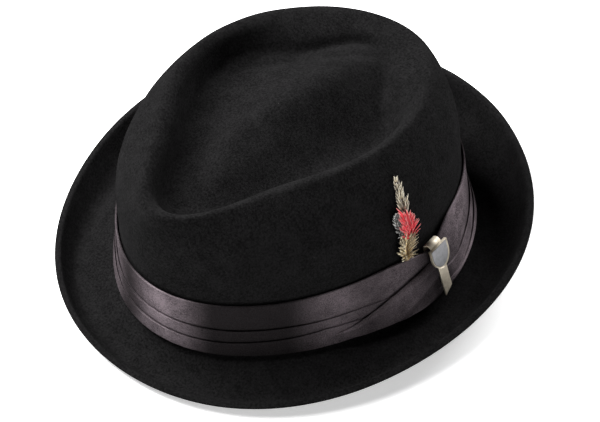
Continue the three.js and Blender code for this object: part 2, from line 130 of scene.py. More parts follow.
# Sections of the crown's outer side, from the brim over the ridge and down into the dish: reach to the front,
# side and back, setback and pinches of the front and back quarters, then the rise at the front, side and back
CROWN_COLUMNS = (
    "name", "front", "side", "back", "setback", "pinch_front", "pinch_back",
    "rise_front", "rise_side", "rise_back",
)
CROWN_SECTIONS = [
    ("break", 1.021, 1.035, 1.028, 0.057, 0.01, -0.02, -0.025, -0.024, -0.024),
    ("foot", 1.0, 1.0, 1.0, 0.055, 0.01, -0.02, 0.012, 0.012, 0.012),
    ("hem", 1.007, 0.95, 0.981, 0.055, 0.01, -0.01, 0.353, 0.353, 0.368),
    ("waist", 0.992, 0.93, 0.958, 0.08, 0.005, 0.005, 0.666, 0.715, 0.713),
    ("shoulder", 0.998, 0.772, 0.952, 0.08, 0.06, 0.008, 0.82, 0.932, 0.838),
    ("ridge", 0.975, 0.72, 0.928, 0.078, 0.082, 0.018, 0.868, 0.975, 0.868),
    ("brow", 0.908, 0.662, 0.862, 0.078, 0.088, 0.05, 0.838, 0.952, 0.863),
    ("wall", 0.87, 0.645, 0.79, 0.075, 0.085, 0.105, 0.75, 0.87, 0.846),
    ("groove", 0.82, 0.618, 0.742, 0.068, 0.075, 0.125, 0.69, 0.8, 0.812),
    ("floor", 0.68, 0.46, 0.65, 0.055, 0.05, 0.11, 0.695, 0.806, 0.842),
    ("mound", 0.5, 0.175, 0.426, 0.03, 0.02, 0.01, 0.782, 0.86, 0.877),
    ("knoll", 0.25, 0.08, 0.21, 0.01, 0.0, 0.0, 0.832, 0.872, 0.882),
    ("apex", 0.0, 0.0, 0.0, 0.0, 0.0, 0.0, 0.876, 0.876, 0.876),
]

# Soft dents and rises that a hand has pressed into the crown: across and along from the head's middle as
# shares of its half width and half length, the two radii as shares of the half width, the turn in degrees,
# and the height as a share of the crown's
PRESSES = [
    dict(name="left rear dish", across=0.4, along=0.19, wide=0.22, long=0.34, turn=0, height=-0.1),
    dict(name="left dish", across=0.33, along=-0.12, wide=0.17, long=0.5, turn=-8, height=-0.03),
    dict(name="middle crest", across=-0.04, along=0.06, wide=0.14, long=0.6, turn=-7, height=0.055),
    dict(name="rear crease", across=-0.25, along=0.41, wide=0.55, long=0.05, turn=45, height=-0.024),
]

# The spray's feathers. A quill runs through places across and up from the spray's foot, in millimetres; each
# side has its spread in degrees, its barbs' length and their lift off the crown; stops colour a barb from
# its root to its tip, and outline darkens each barb's edges towards shade, as painted shade between barbs.
FEATHERS = [
    dict(
        name="speckled", off=0.8, rows=16, layers=2, width=2.0, curl=-0.4, foot=0.75, tip=0.5,
        quill=[(6, -4), (4.8, 8), (3.8, 17), (2.6, 30), (2.6, 38), (4.2, 47)],
        sides=[(-1, 62, 8.0, 1.2), (-1, 26, 8.0, 1.5), (1, 60, 8.2, 1.8), (1, 24, 8.0, 1.8)],
        stops=[
            (0, (0.02, 0.012, 0.007)), (0.3, (0.08, 0.05, 0.03)),
            (0.5, (0.6, 0.5, 0.33)), (1, (0.9, 0.84, 0.68)),
        ],
        mottle=0.5, dark=0.7, outline=1.0, shade=(0.03, 0.018, 0.01),
    ),
    dict(
        name="white", off=1.8, rows=12, layers=2, width=1.0, curl=-0.6, foot=0.8, tip=0.6,
        quill=[(0.9, 19), (-0.6, 24), (-2.2, 29), (-3.2, 33)],
        sides=[(-1, 70, 6.4, 1.4), (-1, 30, 5.4, 1.8), (1, 35, 4.5, 1.6)],
        stops=[
            (0, (0.5, 0.47, 0.43)), (0.25, (0.6, 0.56, 0.52)),
            (0.5, (0.02, 0.02, 0.02)), (1, (0.9, 0.88, 0.85)),
        ],
        mottle=0.8, dark=0.9, outline=0.5, shade=(0.015, 0.015, 0.015),
    ),
    dict(
        name="gold", off=1.6, rows=15, layers=3, width=1.8, curl=-0.2, foot=0.35, tip=1.0,
        quill=[(5.6, -1), (5, 3), (4.4, 7.5), (3.8, 12)],
        sides=[(-1, 58, 10.5, 2.2), (-1, 30, 11.5, 2.8), (1, 42, 9.5, 4.2), (1, 16, 10.5, 3.8)],
        stops=[
            (0, (0.06, 0.03, 0.01)), (0.25, (0.4, 0.24, 0.08)),
            (0.5, (0.85, 0.64, 0.3)), (1, (1.0, 0.93, 0.72)),
        ],
        mottle=0.45, dark=0.7, outline=0.7, shade=(0.1, 0.05, 0.014),
    ),
    dict(
        name="red", off=3.2, rows=18, layers=2, width=1.35, curl=0.1, foot=0.85, tip=1.0,
        quill=[(6, 13), (5.2, 17), (4.2, 21.5), (3, 26)],
        sides=[(-1, 34, 12.5, 1.0), (-1, 15, 12.0, 1.6), (1, 5, 10.0, 2.0), (1, 40, 8.5, 2.4)],
        stops=[
            (0, (0.5, 0.004, 0.012)), (0.4, (0.8, 0.012, 0.03)),
            (0.8, (0.86, 0.03, 0.05)), (1, (0.95, 0.45, 0.42)),
        ],
        mottle=0.25, dark=0.3, outline=0.55, shade=(0.24, 0.0, 0.006),
    ),
]

# Painted sheen: where the ribbon's colour is lightened, as its face lies open to the light in the photo: an
# angle from the front, how far each patch of painted highlight reaches, and how bright it is
PAINTED_SHEENS = [
    (-32, 34 * MM, 0.35),
    (3, 28 * MM, 1.0),
    (62, 30 * MM, 0.62),
    (84, 30 * MM, 0.6),
    (116, 46 * MM, 0.75),
    (168, 40 * MM, 0.6),
    (-105, 50 * MM, 0.7),
]

# Where the pleats' lines run round the band: an angle from the front, and the upper and the lower line as
# shares of the band's height. Behind the clip the folds fan out of its hook.
PLEAT_LINES = [
    (-180, 0.51, 0.28),
    (0, 0.51, 0.265),
    (25, 0.51, 0.275),
    (45, 0.51, 0.3),
    (56, 0.5, 0.33),
    (75, 0.5, 0.27),
    (92, 0.5, 0.2),
    (104, 0.3, 0.1),
    (115, 0.315, 0.1),
    (125, 0.35, 0.13),
    (145, 0.43, 0.2),
    (165, 0.5, 0.27),
    (180, 0.51, 0.28),
]

# The sash's front ply, from its tuck to past the clip: angle, lower and upper edge as shares of the band's
# height, and its fullness
SASH_FRONT = [
    (58, 0.12, 0.19, 0.35),
    (61, 0.06, 0.22, 0.75),
    (65, 0.02, 0.27, 1.0),
    (70, 0.01, 0.38, 1.0),
    (75, 0.03, 0.5, 1.1),
    (80, 0.13, 0.61, 1.15),
    (84, 0.25, 0.69, 1.15),
    (88, 0.36, 0.76, 1.1),
    (92, 0.43, 0.81, 1.0),
    (96, 0.48, 0.83, 0.95),
    (99, 0.5, 0.82, 0.7),
]
# The ply under it
SASH_BACK = [
    (70, 0.0, 0.14, 0.4),
    (75, 0.01, 0.2, 0.6),
    (80, 0.1, 0.3, 0.7),
    (84, 0.185, 0.4, 0.7),
    (88, 0.25, 0.5, 0.7),
    (92, 0.3, 0.56, 0.65),
    (97, 0.34, 0.6, 0.5),
]
# The ribbon's squared end, lowest of the three
TAIL = [
    (76.5, 0.0, 0.1, 0.4),
    (80, 0.01, 0.17, 0.6),
    (84, 0.05, 0.25, 0.7),
    (88, 0.11, 0.31, 0.75),
    (91.6, 0.17, 0.35, 0.75),
]

# The studio's lamps: name, place, width and height, and power
LIGHT_AIM = Vector((0, 0, 0.05))
LIGHTS = [
    ("key", (-1.1, -0.1, 0.9), (0.75, 0.65), 38),
    ("top", (-0.42, -0.42, 1.25), (0.6, 0.6), 20),
    ("right", (1.35, -0.25, 0.32), (0.6, 0.4), 3.5),
    ("back", (0.05, 1.35, 0.68), (0.9, 0.4), 28),
]


def lerp(a, b, share):
    return a + (b - a) * share


def smooth(share):
    share = min(max(share, 0), 1)
    return share * share * (3 - 2 * share)


def ramp(table, at):
    """A row's values at a place between the rows of a table whose first column is that place, on smooth
    curves through the rows."""
    at = min(max(at, table[0][0]), table[-1][0])
    last = len(table) - 2
    index = next((number for number in range(last) if at <= table[number + 1][0]), last)
    low, high = table[index : index + 2]
    before = table[max(index - 1, 0)]
    after = table[min(index + 2, len(table) - 1)]
    span = high[0] - low[0]
    t = (at - low[0]) / span
    values = []
    for a, b, c, d in zip(before[1:], low[1:], high[1:], after[1:]):
        leave = (c - a) / (high[0] - before[0]) * span
        arrive = (d - b) / (after[0] - low[0]) * span
        bend = 3 * (c - b) - 2 * leave - arrive
        values.append(b + leave * t + bend * t * t + (2 * (b - c) + leave + arrive) * t**3)
    return values


def bell(degrees, centre, before, after):
    away = (degrees - centre) / (before if degrees < centre else after)
    return math.exp(-away * away)


# The hat's surface


def base_height(y):
    """Height of the band's foot over the table, which tips back a little as the hat rests."""
    return lerp(FRONT_LIFT, BACK_LIFT, (y + HALF_LENGTH) / HEAD_LENGTH)


def crown_section(row):
    row = dict(zip(CROWN_COLUMNS, row))
    return dict(
        front=row["front"] * HALF_LENGTH,
        side=row["side"] * HALF_WIDTH,
        back=row["back"] * HALF_LENGTH,
        setback=row["setback"] * HALF_LENGTH,
        pinch_front=row["pinch_front"],
        pinch_back=row["pinch_back"],
        z_front=row["rise_front"] * CROWN_HEIGHT,
        z_side=row["rise_side"] * CROWN_HEIGHT,
        z_back=row["rise_back"] * CROWN_HEIGHT,
        on_base=True,
        ease=0,
        shift=CROWN_SHIFT * smooth((row["rise_front"] - 0.4) / 0.4),
    )


def brim_section(row):
    return dict(
        front=HALF_LENGTH + row["out"] * BRIM_FRONT,
        side=HALF_WIDTH + row["out"] * BRIM_SIDE,
        back=HALF_LENGTH + row["out"] * BRIM_BACK,
        setback=lerp(BRIM_SETBACK_INNER, BRIM_SETBACK_OUTER, row["out"]) * HALF_LENGTH,
        pinch_front=-BRIM_PINCH,
        pinch_back=BRIM_PINCH,
        z_front=row["front"] * LIP_FRONT,
        z_side=row["side"] * LIP_SIDE,
        z_back=row["back"] * LIP_BACK,
        on_base=False,
        ease=BRIM_EASE * row["out"] ** 2,
        shift=0,
    )


SECTIONS = [brim_section(row) for row in BRIM_SECTIONS] + [crown_section(row) for row in CROWN_SECTIONS]
FOOT = len(BRIM_SECTIONS) + 1
SHOULDER = FOOT + 3
TOP = len(SECTIONS) - 1
WALL_STEPS = 60


def section_point(row, theta):
    """A section's point at an angle round from the front, over the wearer's left side."""
    c = math.cos(theta)
    s = math.sin(theta)
    pinch = (row["pinch_front"] * (1 + c) + row["pinch_back"] * (1 - c)) / 2
    pull = 1 - 2 * pinch * math.sin(2 * theta) ** 2
    x = row["side"] * pull * s
    y = (-pull * c * (row["front"] + row["back"]) + c * c * (row["back"] - row["front"])) / 2
    y += row["setback"] * s * s
    ease = row["ease"] * (1 + math.cos(2 * (theta + math.radians(EASE_ANGLE)))) / 2
    x += row["shift"] + ease * s
    y -= ease * c
    tip = (row["z_front"] - row["z_back"]) / 2
    bow = (row["z_front"] + row["z_back"]) / 2 - row["z_side"]
    z = row["z_side"] + tip * c + bow * c * c
    if row["on_base"]:
        z += base_height(y)
    return Vector((x, y, z))


@lru_cache(maxsize=None)
def profile(theta):
    """The sections' points at one angle, with one more at each end to steer the curve."""
    points = [section_point(row, theta) for row in SECTIONS]
    return [2 * points[0] - points[1], *points, 2 * points[-1] - points[-2]]


@lru_cache(maxsize=None)
def profile_point(theta, level):
    """A point of the felt's outer profile at one angle, on a centripetal curve. level counts sections
    inwards."""
    points = profile(theta)
    index = min(int(level), TOP - 1)
    t = level - index
    p0, p1, p2, p3 = points[index : index + 4]
    d0 = max(math.sqrt((p1 - p0).length), 1e-6)
    d1 = max(math.sqrt((p2 - p1).length), 1e-6)
    d2 = max(math.sqrt((p3 - p2).length), 1e-6)
    leave = ((p1 - p0) / d0 - (p2 - p0) / (d0 + d1) + (p2 - p1) / d1) * d1
    arrive = ((p2 - p1) / d1 - (p3 - p1) / (d1 + d2) + (p3 - p2) / d2) * d1
    point = p1 + leave * t + (3 * (p2 - p1) - 2 * leave - arrive) * t * t
    return point + (2 * (p1 - p2) + leave + arrive) * t * t * t


@lru_cache(maxsize=None)
def wall_table(theta):
    """Levels up the crown's wall at one angle, each with its height over the band's foot."""
    rows = []
    for step in range(WALL_STEPS + 1):
        level = lerp(FOOT - 1, SHOULDER, step / WALL_STEPS)
        point = profile_point(theta, level)
        rows.append((point.z - base_height(point.y), level))
    return rows


def wall_place(theta, height, off):
    """A place on the crown's wall at a height above the band's foot, moved off it along the outward
    normal."""
    theta = round(theta, 6)
    rows = wall_table(theta)
    level = rows[-1][1]
    for low, high in zip(rows, rows[1:]):
        if height <= high[0]:
            level = lerp(low[1], high[1], (height - low[0]) / (high[0] - low[0]))
            break
    step = 0.02
    point = profile_point(theta, level)
    up = profile_point(theta, level + step) - point
    across = profile_point(round(theta + step, 6), level) - profile_point(round(theta - step, 6), level)
    return point + across.cross(up).normalized() * off


def band_top(degrees):
    return BAND_SEAT + BAND_HEIGHT - TOP_DIP * bell(degrees, CLIP_ANGLE - DIP_LEAD, DIP_BEFORE, DIP_AFTER)


def band_place(degrees, share, off):
    """A place on the band at a share of its height, off from its inner side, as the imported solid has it."""
    gathers = bell(degrees, FLARE_ANGLE, FLARE_BEFORE, FLARE_AFTER) * (1 - share)
    room = bell(degrees, CLIP_ANGLE, TOP_SPREAD, TOP_SPREAD) * share
    gap = CLEARANCE + FOOT_FLARE * gathers + TOP_FLARE * room
    level = BAND_SEAT + share * (band_top(degrees) - BAND_SEAT) - FOOT_DROP * gathers
    place = wall_place(math.radians(degrees), max(level, 0), gap + off)
    place.z += min(level, 0)
    return place


# Meshes


def extrude_row(bm, edges, row):
    """Extrudes a row of edges and moves the new vertices to the next row's points. Returns the new
    edges."""
    place = bm.verts.layers.int["place"]
    made = bmesh.ops.extrude_edge_only(bm, edges=edges)["geom"]
    verts = {item for item in made if isinstance(item, bmesh.types.BMVert)}
    for vert in verts:
        vert.co = row[vert[place]]
    return [item for item in made if isinstance(item, bmesh.types.BMEdge) and set(item.verts) <= verts]


def loft(bm, rows, closed=True, ring=False, caps=False):
    """A skin through rows of points. A closed row is a loop, a ring joins its last row to its first, and caps
    fill the two ends. Each vertex remembers its row and its place in it, for its UVs."""
    place = bm.verts.layers.int.get("place") or bm.verts.layers.int.new("place")
    station = bm.verts.layers.int.get("station") or bm.verts.layers.int.new("station")
    verts = [bm.verts.new(point) for point in rows[0]]
    for index, vert in enumerate(verts):
        vert[place] = index
        vert[station] = 0
    pairs = list(zip(verts, verts[1:]))
    if closed:
        pairs.append((verts[-1], verts[0]))
    first = [bm.edges.new(pair) for pair in pairs]
    edges = first
    made = list(verts)
    for number, row in enumerate(rows[1:], 1):
        edges = extrude_row(bm, edges, row)
        new = {vert for edge in edges for vert in edge.verts}
        for vert in new:
            vert[station] = number
        made.extend(new)
    if ring:
        bmesh.ops.bridge_loops(bm, edges=first + edges)
    if caps:
        bmesh.ops.contextual_create(bm, geom=first)
        bmesh.ops.contextual_create(bm, geom=edges)
    return made


def unwrap(bm, width, length):
    """UVs in metres from the loft's own rows and places, with the seams of closed rows kept whole."""
    place = bm.verts.layers.int["place"]
    station = bm.verts.layers.int["station"]
    layer = bm.loops.layers.uv.new("cloth")
    places = max(vert[place] for vert in bm.verts) + 1
    stations = max(vert[station] for vert in bm.verts) + 1
    for face in bm.faces:
        high_place = max(vert[place] for vert in face.verts)
        high_station = max(vert[station] for vert in face.verts)
        for corner in face.loops:
            p = corner.vert[place]
            s = corner.vert[station]
            if high_place - p > places / 2:
                p += places
            if high_station - s > stations / 2:
                s += stations
            corner[layer].uv = (s / stations * length, p / places * width)


def finish_piece(bm, name, finish, node, levels=0):
    """Turns a bmesh into a piece of the hat that stands for its CAD node."""
    bmesh.ops.recalc_face_normals(bm, faces=bm.faces)
    mesh = bpy.data.meshes.new(name)
    bm.to_mesh(mesh)
    bm.free()
    piece = bpy.data.objects.new(name, mesh)
    bpy.context.scene.collection.objects.link(piece)
    mesh.materials.append(finish)
    for polygon in mesh.polygons:
        polygon.use_smooth = True
    if levels:
        subdivision = piece.modifiers.new("smooth", "SUBSURF")
        subdivision.levels = levels
        subdivision.render_levels = levels
    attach(piece, "root")
    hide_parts(node)
    return piece


# Materials


def arithmetic(operation, reflected=False):
    def apply(self, other):
        pair = [other, self] if reflected else [self, other]
        return self.finish.node("ShaderNodeMath", {"operation": operation}, pair)

    return apply


class Value:
    """An output socket of a finish. Arithmetic on it adds Math nodes."""

    def __init__(self, finish, socket):
        self.finish = finish
        self.socket = socket

    __add__ = __radd__ = arithmetic("ADD")
    __mul__ = __rmul__ = arithmetic("MULTIPLY")
    __sub__ = arithmetic("SUBTRACT")
    __rsub__ = arithmetic("SUBTRACT", reflected=True)
    __gt__ = arithmetic("GREATER_THAN")


class Finish:
    """A material of one Principled shader, whose constants are set on the shader's own sockets."""

    def __init__(self, name, **constants):
        self.material = bpy.data.materials.new(name)
        self.material.use_nodes = True
        self.tree = self.material.node_tree
        self.shader = self.tree.nodes["Principled BSDF"]
        for socket, value in constants.items():
            self.shader.inputs[socket.replace("_", " ").title().replace("Ior", "IOR")].default_value = value

    def node(self, kind, settings=None, sockets=(), output=0):
        """A node of a kind with its settings, then the values or links of its sockets, by name or in
        order."""
        node = self.tree.nodes.new(kind)
        for key, value in (settings or {}).items():
            if key == "stops":
                self.set_stops(node.color_ramp.elements, value)
            else:
                setattr(node, key, value)
        pairs = sockets.items() if isinstance(sockets, dict) else enumerate(sockets)
        for key, value in pairs:
            if isinstance(value, Value):
                self.tree.links.new(value.socket, node.inputs[key])
            else:
                node.inputs[key].default_value = value
        return Value(self, node.outputs[output])

    def set_stops(self, elements, stops):
        while len(elements) < len(stops):
            elements.new(0.5)
        for element, (position, color) in zip(elements, stops):
            element.position = position
            element.color = (*color, 1)

    def place(self, kind="Object"):
        return self.node("ShaderNodeTexCoord", output=kind)

    def moved(self, vector, scale=(1, 1, 1), turn=(0, 0, 0)):
        settings = {"vector_type": "POINT"}
        return self.node("ShaderNodeMapping", settings, {"Vector": vector, "Scale": scale, "Rotation": turn})

    def cloud(self, vector, size, detail=2, roughness=0.5):
        """Noise from 0 to 1 whose clumps are about a size across, in metres."""
        sockets = {"Vector": vector, "Scale": 1 / size, "Detail": detail, "Roughness": roughness}
        return self.node("ShaderNodeTexNoise", None, sockets)

    def between(self, value, low, high, to_low=0.0, to_high=1.0):
        """A value's range stretched to another, held at its ends."""
        return self.node("ShaderNodeMapRange", None, [value, low, high, to_low, to_high])

    def mix(self, factor, a, b):
        a = a if isinstance(a, Value) else (*a, 1)
        b = b if isinstance(b, Value) else (*b, 1)
        return self.node("ShaderNodeMix", {"data_type": "RGBA"}, {0: factor, 6: a, 7: b}, output=2)

    def bump(self, height, strength, distance):
        sockets = {"Strength": strength, "Distance": distance, "Height": height}
        return self.node("ShaderNodeBump", None, sockets)

    def feed(self, socket, value):
        self.tree.links.new(value.socket, self.shader.inputs[socket])


def felt_finish():
    """Black wool felt: a short, uneven nap of matted fibres, a little dust, and faint mottling."""
    felt = Finish("felt", roughness=0.65, sheen_weight=0.005, sheen_roughness=0.5)
    felt.shader.inputs["Sheen Tint"].default_value = (0.8, 0.8, 0.82, 1)
    felt.shader.inputs["Specular IOR Level"].default_value = 0.0
    where = felt.place()
    mottle = felt.cloud(where, 9 * MM, 3, 0.6)
    nap = felt.cloud(where, 1.1 * MM, 4, 0.75)
    matted = felt.cloud(felt.moved(where, (1, 1, 3), (0.5, 0.3, 0.2)), 1.8 * MM, 3, 0.7)
    tone = felt.between(mottle * 0.2 + nap * 0.8, 0.4, 0.62)
    base = felt.mix(tone, (0.0042, 0.0041, 0.0042), (0.0125, 0.0122, 0.0125))
    dust = felt.node("ShaderNodeTexVoronoi", {"feature": "F1"}, {"Vector": where, "Scale": 1 / (7 * MM)})
    dust_here = felt.between(dust, 0.02, 0.035, 1, 0)
    rare = felt.cloud(where, 17 * MM, 1) > 0.57
    felt.feed("Base Color", felt.mix(dust_here * rare * 0.3, base, (0.12, 0.115, 0.11)))
    felt.feed("Roughness", felt.between(nap, 0.3, 0.7, 0.62, 0.78))
    felt.feed("Normal", felt.bump(nap * 0.6 + matted * 0.4, 0.8, 0.5 * MM))
    return felt.material


def satin_finish():
    """Dark grey satin ribbon: a fine weave, seen only in its sparkle, whose threads draw the light out into
    streaks across the ribbon, with slow patches of painted sheen, where its colour is lightened as its face
    would catch the light."""
    satin = Finish("satin", metallic=0.3, roughness=0.45, anisotropic=0.9, anisotropic_rotation=0.25)
    satin.shader.inputs["Specular IOR Level"].default_value = 0.0
    satin.shader.inputs["Specular Tint"].default_value = (0.12, 0.1, 0.11, 1)
    cloth = satin.place("UV")
    where = satin.place()
    weft = satin.cloud(satin.moved(cloth, (1, 6, 1)), 1.8 * MM, 2, 0.6)
    grain = satin.cloud(where, 0.6 * MM, 2, 0.7)
    watered = satin.cloud(where, 9 * MM, 2, 0.5)
    ground = satin.moved(where, (1, 1, 0))
    fading = {"interpolation_type": "SMOOTHSTEP"}
    # Painted sheen: the patches add up, each lightening the ribbon's colour near its place round the band.
    painted_sheen = 0
    for degrees, reach, bright in PAINTED_SHEENS:
        theta = math.radians(degrees)
        middle = HEAD_MIDDLE + Vector((math.sin(theta) * HALF_WIDTH, -math.cos(theta) * HALF_LENGTH, 0))
        away = satin.node("ShaderNodeVectorMath", {"operation": "DISTANCE"}, [ground, middle], output="Value")
        near = satin.node("ShaderNodeMapRange", fading, [away, 0.0, reach, bright, 0.0])
        painted_sheen = near + painted_sheen
    painted_sheen_streak = painted_sheen * satin.between(weft * 0.3 + watered * 0.3 + grain * 0.5, 0.38, 0.68, 0.15, 1.8)
    shadow = satin.mix(satin.between(grain, 0.35, 0.65), (0.0095, 0.0085, 0.0088), (0.021, 0.0185, 0.0195))
    # Painted highlight: where the painted sheen falls, the ribbon's dark colour is mixed towards a pale grey.
    satin.feed("Base Color", satin.mix(satin.between(painted_sheen_streak, 0.0, 1.5), shadow, (0.2, 0.165, 0.182)))
    satin.feed("Roughness", satin.between(watered * 0.4 + grain * 0.6, 0.35, 0.65, 0.4, 0.54))
    satin.feed("Normal", satin.bump(weft * 0.35 + grain * 0.65, 0.7, 0.2 * MM))
    return satin.material


def metal_finish(name, light, dark, roughness, scratch=0.12):
    """Cast and brushed metal with fine scratches, small pits and darker patches."""
    metal = Finish(name, metallic=0.4, roughness=roughness)
    where = metal.place()
    brushed = metal.cloud(metal.moved(where, (1, 1, 12), (0.4, 0.2, 0.1)), 1.5 * MM, 3, 0.6)
    worn = metal.cloud(where, 2.2 * MM, 3, 0.6)
    pits = metal.cloud(where, 0.5 * MM, 2, 0.5)
    metal.feed("Base Color", metal.mix(metal.between(worn * 0.7 + brushed * 0.3, 0.35, 0.65), dark, light))
    metal.feed("Roughness", metal.between(brushed, 0.3, 0.7, roughness - 0.07, roughness + 0.1))
    metal.feed("Normal", metal.bump(brushed * 0.6 + pits * 0.4, scratch, 0.1 * MM))
    return metal.material


def feather_finish(row):
    """Feather barbs, coloured from their roots to their tips, each barb a little lighter or darker than the
    next, and darkened towards its edges with painted shade for the gaps between the barbs."""
    feather = Finish(f"{row['name']}_barbs", roughness=0.55, sheen_weight=0.15)
    feather.shader.inputs["Specular IOR Level"].default_value = 0.35
    barb = feather.node("ShaderNodeUVMap", {"uv_map": "barb"})
    rim = feather.node("ShaderNodeUVMap", {"uv_map": "edge"})
    edge = feather.node("ShaderNodeSeparateXYZ", None, [rim], output="X")
    along = feather.node("ShaderNodeSeparateXYZ", None, [barb], output="X")
    tone = feather.node("ShaderNodeSeparateXYZ", None, [barb], output="Y")
    ruffle = feather.cloud(feather.place(), 0.8 * MM, 3, 0.6)
    at = feather.between(along + (ruffle - 0.5) * row["mottle"], 0, 1)
    color = feather.node("ShaderNodeValToRGB", {"stops": row["stops"]}, [at])
    color = feather.mix(feather.between(tone, 0.35, 1, 0.0, row["dark"]), color, row["shade"])
    # Painted shade: each barb darkens towards its edges, standing for the shade in the gaps between barbs.
    outline = feather.between(edge + (ruffle - 0.5) * 0.6, 0.35, 0.9, 0.0, row["outline"])
    color = feather.mix(outline, color, row["shade"])
    feather.feed("Base Color", color)
    feather.feed("Roughness", feather.between(ruffle, 0.3, 0.7, 0.42, 0.66))
    feather.feed("Normal", feather.bump(ruffle, 0.4, 0.15 * MM))
    return feather.material


def floor_finish():
    """A plain pale floor."""
    floor = Finish("floor", roughness=0.7, emission_strength=0.5)
    floor.shader.inputs["Emission Color"].default_value = (1, 1, 1, 1)
    soft = floor.cloud(floor.place(), 0.4, 2)
    floor.feed("Base Color", floor.mix(soft, (0.86, 0.86, 0.86), (0.89, 0.89, 0.89)))
    return floor.material


# The felt


def pressed(point):
    """A point of the crown with the hand's soft dents and rises."""
    for press in PRESSES:
        dx = point.x - press["across"] * HALF_WIDTH
        dy = point.y - press["along"] * HALF_LENGTH
        turn = math.radians(press["turn"])
        u = (dx * math.cos(turn) + dy * math.sin(turn)) / (press["wide"] * HALF_WIDTH)
        v = (dy * math.cos(turn) - dx * math.sin(turn)) / (press["long"] * HALF_WIDTH)
        point.z += press["height"] * CROWN_HEIGHT * math.exp(-u * u - v * v)
    return point


def make_felt(finish):
    around = 144
    steps = 4
    levels = [step / steps for step in range(TOP * steps)]
    bm = bmesh.new()
    rows = []
    for level in levels:
        row = []
        for number in range(around):
            theta = round(number * math.tau / around, 6)
            point = profile_point(theta, level)
            if level > FOOT + 2:
                point = pressed(point.copy())
            ripple = noise.noise(Vector(point) / RIPPLE_SIZE) * RIPPLE
            row.append(point + HEAD_MIDDLE + Vector((0, 0, ripple * smooth(point.z / RIPPLE_FADE))))
        rows.append(row)
    loft(bm, rows)
    top = [edge for edge in bm.edges if edge.is_boundary and edge.verts[0].co.z > CROWN_HEIGHT / 2]
    bmesh.ops.contextual_create(bm, geom=top)
    cap = [face for face in bm.faces if len(face.verts) > 4]
    bmesh.ops.poke(bm, faces=cap)
    bmesh.ops.recalc_face_normals(bm, faces=bm.faces)
    bmesh.ops.solidify(bm, geom=bm.faces[:], thickness=FELT_WALL)
    for vert in bm.verts:
        vert.co.z = max(vert.co.z, 0)
    return finish_piece(bm, "felt_shell", finish, "felt_body", levels=1)


# The band


def pleat_section(degrees):
    """The band's section at an angle, once round, as shares of its height and distances off its inner side.
    The top edge of each fold stands free over the next one up, which comes out from behind it."""
    upper, lower = ramp(PLEAT_LINES, degrees)
    proud = FOLD_STEP * (1 - 0.85 * bell(degrees, 82, 30, 15))
    points = [(0.99, 0.05 * PLY), (0.75, 0), (0.5, 0), (0.25, 0), (0.02, 0)]
    points.append((-0.004, LOWEST_PLEAT + 2 * proud - 0.8 * MM))
    points.append((-0.012, LOWEST_PLEAT + 2 * proud - 0.2 * MM))
    for number, (low, high) in enumerate(((0.0, lower), (lower, upper), (upper, 1.0))):
        face = LOWEST_PLEAT + (2 - number) * proud
        if number:
            points.append((low - 0.03, face - 0.35 * MM))
            points.append((low - 0.004, face - 0.3 * MM))
        points.append((low + 0.03, face + 0.1 * MM))
        points.append((lerp(low, high, 0.35), face + 0.25 * MM))
        points.append((lerp(low, high, 0.65), face + 0.25 * MM))
        points.append((high - 0.045, face + 0.1 * MM))
        if number < 2:
            points.append((high - 0.018, face + 0.15 * MM))
            points.append((high - 0.004, face + 0.12 * MM))
            points.append((high + 0.004, face - 0.12 * MM))
            points.append((high - 0.003, face - 0.4 * MM))
            points.append((high - 0.03, face - 0.45 * MM))
    points.append((0.984, LOWEST_PLEAT + 0.15 * MM))
    points.append((0.991, LOWEST_PLEAT + 0.45 * MM))
    points.append((1.002, LOWEST_PLEAT + 0.5 * MM))
    points.append((1.01, LOWEST_PLEAT + 0.1 * MM))
    points.append((1.008, LOWEST_PLEAT - 0.6 * MM))
    return points


def drift(degrees, share):
    """Slow waves of the ribbon's face."""
    theta = math.radians(degrees)
    at = Vector((math.cos(theta) * 2.6, math.sin(theta) * 2.6, share * 0.8))
    return noise.noise(at) * 0.55 * MM


def pucker(degrees, share):
    """The stitch that gathers the ribbon at the sash's foot: a pit with small creases that run out from
    it."""
    u = (degrees - TUCK_ANGLE) / 4.5
    v = (share - TUCK_SHARE) / 0.13
    reach = u * u + v * v
    rays = math.cos(5 * math.atan2(v, u) + 0.4) * math.sqrt(reach) * math.exp(-reach)
    return (0.75 * rays - 1.1 * math.exp(-9 * reach)) * MM


def make_band(finish):
    around = 240
    rows = []
    angles = [number * 360 / around for number in range(around)]
    angles += [TUCK_ANGLE + step / 2 for step in range(-12, 13)]
    for degrees in sorted(set(angles)):
        degrees = degrees if degrees <= 180 else degrees - 360
        row = []
        for share, off in pleat_section(degrees):
            wave = drift(degrees, share) + pucker(degrees, share)
            wave *= min(max(off, 0) / LOWEST_PLEAT, 1)
            row.append(band_place(degrees, share, max(off + wave, 0)) + HEAD_MIDDLE)
        rows.append(row)
    bm = bmesh.new()
    loft(bm, rows, ring=True)
    unwrap(bm, 2 * BAND_HEIGHT, math.pi * (HALF_LENGTH + HALF_WIDTH))
    return finish_piece(bm, "ribbon_band", finish, "band", levels=1)


